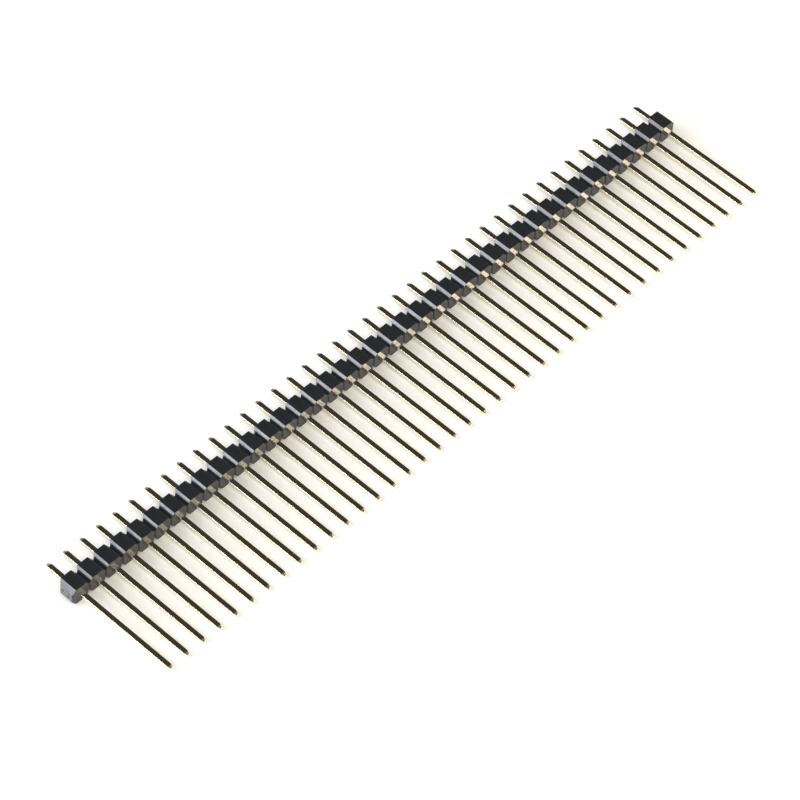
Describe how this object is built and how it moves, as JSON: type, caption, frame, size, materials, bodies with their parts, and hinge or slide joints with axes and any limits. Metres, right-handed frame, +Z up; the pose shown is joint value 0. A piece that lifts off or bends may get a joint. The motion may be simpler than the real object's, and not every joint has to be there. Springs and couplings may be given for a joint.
{
  "type": "pin header strip",
  "caption": "Straight single-row break-away pin header strip at 2.54 mm pitch: square gold-plated pins with long posts and short solder tails, pressed through a black moulding.",
  "frame": {"origin": "on the surface that the strip lies on, under the middle of its bounding box", "axes": "+X along the row from the first pin to the last, -Y the way the long posts point, +Y the way the short tails point, +Z up; the pins lean about 4 degrees, down towards the post tips, as the strip lies"},
  "size_m": [0.1018, 0.0198, 0.0027],
  "materials": {
    "housing_plastic": "black glass-filled thermoplastic, injection moulded, semi-gloss",
    "pin_metal": "drawn square wire, gold plated, bright"
  },
  "bodies": {
    "root": {"housing": "housing_plastic", "pin_01": "pin_metal", "pin_02": "pin_metal", "pin_03": "pin_metal", "pin_04": "pin_metal", "pin_05": "pin_metal", "pin_06": "pin_metal", "pin_07": "pin_metal", "pin_08": "pin_metal", "pin_09": "pin_metal", "pin_10": "pin_metal", "pin_11": "pin_metal", "pin_12": "pin_metal", "pin_13": "pin_metal", "pin_14": "pin_metal", "pin_15": "pin_metal", "pin_16": "pin_metal", "pin_17": "pin_metal", "pin_18": "pin_metal", "pin_19": "pin_metal", "pin_20": "pin_metal", "pin_21": "pin_metal", "pin_22": "pin_metal", "pin_23": "pin_metal", "pin_24": "pin_metal", "pin_25": "pin_metal", "pin_26": "pin_metal", "pin_27": "pin_metal", "pin_28": "pin_metal", "pin_29": "pin_metal", "pin_30": "pin_metal", "pin_31": "pin_metal", "pin_32": "pin_metal", "pin_33": "pin_metal", "pin_34": "pin_metal", "pin_35": "pin_metal", "pin_36": "pin_metal", "pin_37": "pin_metal", "pin_38": "pin_metal", "pin_39": "pin_metal", "pin_40": "pin_metal"}
  },
  "joints": []
}
